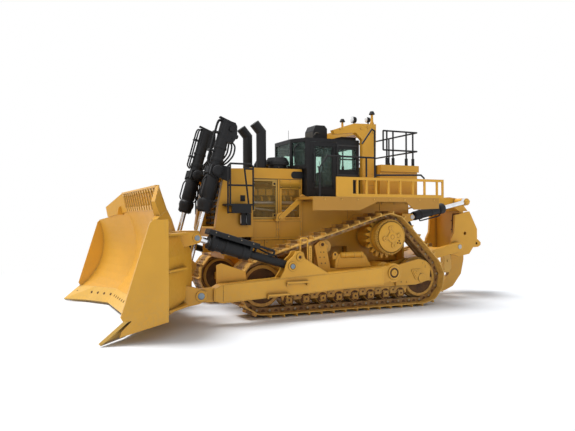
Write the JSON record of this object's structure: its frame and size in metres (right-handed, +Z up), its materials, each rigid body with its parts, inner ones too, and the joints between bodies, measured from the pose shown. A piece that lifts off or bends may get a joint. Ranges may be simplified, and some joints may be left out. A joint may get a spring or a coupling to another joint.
{
  "type": "track-type bulldozer",
  "caption": "Large high-drive track-type bulldozer with a winged blade on push arms, lift and tilt cylinders, roll-over frame, cab and a ripper on a parallel linkage.",
  "frame": {"origin": "on the ground under the middle of the whole machine's box", "axes": "+X forward to the blade, +Y to the machine's left, +Z up"},
  "size_m": [11.54, 6.7, 4.99],
  "materials": {
    "yellow_paint": "satin, lightly worn",
    "black_paint": "satin",
    "chrome_rod": "polished hard chrome",
    "track_steel": "painted, dusty",
    "wear_steel": "painted, scuffed",
    "cab_glass": "green-tinted",
    "dark_iron": "rough",
    "seat_fabric": "woven",
    "mesh_panel": "perforated sheet",
    "pin_steel": "turned"
  },
  "bodies": {
    "chassis": {"main_frame": "yellow_paint", "track_frames": "yellow_paint", "track_left": "track_steel", "track_right": "track_steel", "final_drives": "yellow_paint", "idlers": "track_steel", "track_rollers": "track_steel", "equalizer_bar": "yellow_paint", "pivot_shafts": "pin_steel", "radiator_guard": "yellow_paint", "radiator_grille": "black_paint", "hood": "yellow_paint", "engine": "dark_iron", "engine_panels": "yellow_paint", "exhaust_stacks": "black_paint", "pre_cleaners": "black_paint", "cab_shell": "black_paint", "cab_glass": "cab_glass", "operator_seat": "seat_fabric", "rops": "yellow_paint", "roof_unit": "black_paint", "fenders": "yellow_paint", "deck_plate": "yellow_paint", "deck_guards": "yellow_paint", "deck_rails": "black_paint", "fuel_tank": "yellow_paint", "tank_railing": "black_paint", "front_steps": "black_paint", "ripper_bracket": "yellow_paint"},
    "push_arms": {"push_arms": "yellow_paint"},
    "blade": {"blade": "yellow_paint", "cutting_edges": "wear_steel", "rock_guard": "yellow_paint"},
    "tilt_barrels": {"tilt_barrels": "black_paint"},
    "tilt_rods": {"tilt_rods": "chrome_rod"},
    "lift_yokes": {"lift_yokes": "black_paint"},
    "lift_barrels": {"lift_barrels": "black_paint"},
    "lift_rods": {"lift_rods": "chrome_rod"},
    "cab_door_left": {"cab_door_left": "black_paint"},
    "cab_door_right": {"cab_door_right": "black_paint"},
    "engine_door_left": {"engine_door_left": "mesh_panel"},
    "engine_door_right": {"engine_door_right": "mesh_panel"},
    "ripper_link": {"ripper_link": "yellow_paint"},
    "ripper_link_pins": {"ripper_link_pins": "pin_steel"},
    "ripper_carriage": {"ripper_beam": "yellow_paint", "ripper_shank": "yellow_paint"},
    "ripper_tilt_pins": {"ripper_tilt_pins": "pin_steel"},
    "ripper_tilt_barrels": {"ripper_tilt_barrels": "black_paint"},
    "ripper_tilt_rods": {"ripper_tilt_rods": "chrome_rod"},
    "ripper_lift_barrels": {"ripper_lift_barrels": "black_paint"},
    "ripper_lift_rods": {"ripper_lift_rods": "chrome_rod"}
  },
  "joints": [
    {"name": "blade_lift", "type": "hinge", "parent": "chassis", "child": "push_arms", "pos_m": [-1.17, 0, 0.91], "axis": [0, -1, 0], "range_deg": [-6, 12.5]},
    {"name": "blade_pitch", "type": "hinge", "parent": "push_arms", "child": "blade", "pos_m": [3.62, 0, 0.64], "axis": [0, -1, 0], "range_deg": [-5, 8]},
    {"name": "tilt_cylinder_pivot", "type": "hinge", "parent": "push_arms", "child": "tilt_barrels", "pos_m": [1.56, 0, 1.17], "axis": [0, -1, 0], "range_deg": [-0.88, 1.41]},
    {"name": "tilt_cylinder_rod", "type": "slide", "parent": "tilt_barrels", "child": "tilt_rods", "axis": [0.9565, 0, 0.2919], "range_m": [-0.15938, 0.09961]},
    {"name": "lift_yoke_pivot", "type": "hinge", "parent": "chassis", "child": "lift_yokes", "pos_m": [2.85, 0, 3.3], "axis": [0, -1, 0], "range_deg": [-2.63, 5.49]},
    {"name": "lift_cylinder_swing", "type": "hinge", "parent": "lift_yokes", "child": "lift_barrels", "pos_m": [2.85, 0, 3.3], "axis": [0, -1, 0], "range_deg": [-1.95, 1.22]},
    {"name": "lift_cylinder_rod", "type": "slide", "parent": "lift_barrels", "child": "lift_rods", "axis": [0.2688, 0, -0.9632], "range_m": [-1.01208, 0.4858]},
    {"name": "cab_door_left_hinge", "type": "hinge", "parent": "chassis", "child": "cab_door_left", "pos_m": [-0.314, 0.978, 3.4], "axis": [0, 0, 1], "range_deg": [0, 95]},
    {"name": "cab_door_right_hinge", "type": "hinge", "parent": "chassis", "child": "cab_door_right", "pos_m": [-0.314, -0.978, 3.4], "axis": [0, 0, -1], "range_deg": [0, 95]},
    {"name": "engine_door_left_hinge", "type": "hinge", "parent": "chassis", "child": "engine_door_left", "pos_m": [1.902, 0.778, 2.7], "axis": [0, 0, -1], "range_deg": [0, 90]},
    {"name": "engine_door_right_hinge", "type": "hinge", "parent": "chassis", "child": "engine_door_right", "pos_m": [1.902, -0.778, 2.7], "axis": [0, 0, 1], "range_deg": [0, 90]},
    {"name": "ripper_lift", "type": "hinge", "parent": "chassis", "child": "ripper_link", "pos_m": [-2.51, 0, 0.98], "axis": [0, 1, 0], "range_deg": [-44, 16]},
    {"name": "ripper_link_level", "type": "hinge", "parent": "ripper_link", "child": "ripper_link_pins", "pos_m": [-4.4, 0, 1.4], "axis": [0, 1, 0], "range_deg": [-16.32, 44.88]},
    {"name": "ripper_pitch", "type": "hinge", "parent": "ripper_link_pins", "child": "ripper_carriage", "pos_m": [-4.4, 0, 1.4], "axis": [0, 1, 0], "range_deg": [-7, 7]},
    {"name": "ripper_tilt_pin_turn", "type": "hinge", "parent": "chassis", "child": "ripper_tilt_pins", "pos_m": [-2.6, 0, 2.24], "axis": [0, 1, 0], "range_deg": [-44.88, 16.32]},
    {"name": "ripper_tilt_swing", "type": "hinge", "parent": "ripper_tilt_pins", "child": "ripper_tilt_barrels", "pos_m": [-2.6, 0, 2.24], "axis": [0, 1, 0], "range_deg": [-1.32, 1.32]},
    {"name": "ripper_tilt_rod", "type": "slide", "parent": "ripper_tilt_barrels", "child": "ripper_tilt_rods", "axis": [-0.9762, 0, 0.2169], "range_m": [-0.15071, 0.15071]},
    {"name": "ripper_lift_swing", "type": "hinge", "parent": "chassis", "child": "ripper_lift_barrels", "pos_m": [-2.67, 0, 2.44], "axis": [0, 1, 0], "range_deg": [-8.98, 3.27]},
    {"name": "ripper_lift_rod", "type": "slide", "parent": "ripper_lift_barrels", "child": "ripper_lift_rods", "axis": [-0.4415, 0, -0.8973], "range_m": [-0.20572, 0.56574]}
  ],
  "couplings": [
    {"joint": "tilt_cylinder_pivot", "follows": "blade_pitch", "ratio": 0.17237},
    {"joint": "tilt_cylinder_rod", "follows": "blade_pitch", "m_per_rad": -1.1191},
    {"joint": "lift_yoke_pivot", "follows": "blade_lift", "ratio": 0.43041},
    {"joint": "lift_cylinder_swing", "follows": "blade_pitch", "ratio": -0.23911},
    {"joint": "lift_cylinder_rod", "follows": "blade_lift", "m_per_rad": -4.5481},
    {"joint": "ripper_link_level", "follows": "ripper_lift", "ratio": -1},
    {"joint": "ripper_tilt_pin_turn", "follows": "ripper_lift", "ratio": 1},
    {"joint": "ripper_tilt_swing", "follows": "ripper_pitch", "ratio": 0.18521},
    {"joint": "ripper_tilt_rod", "follows": "ripper_pitch", "m_per_rad": -1.2094},
    {"joint": "ripper_lift_swing", "follows": "ripper_lift", "ratio": 0.20019},
    {"joint": "ripper_lift_rod", "follows": "ripper_lift", "m_per_rad": -0.72225}
  ]
}
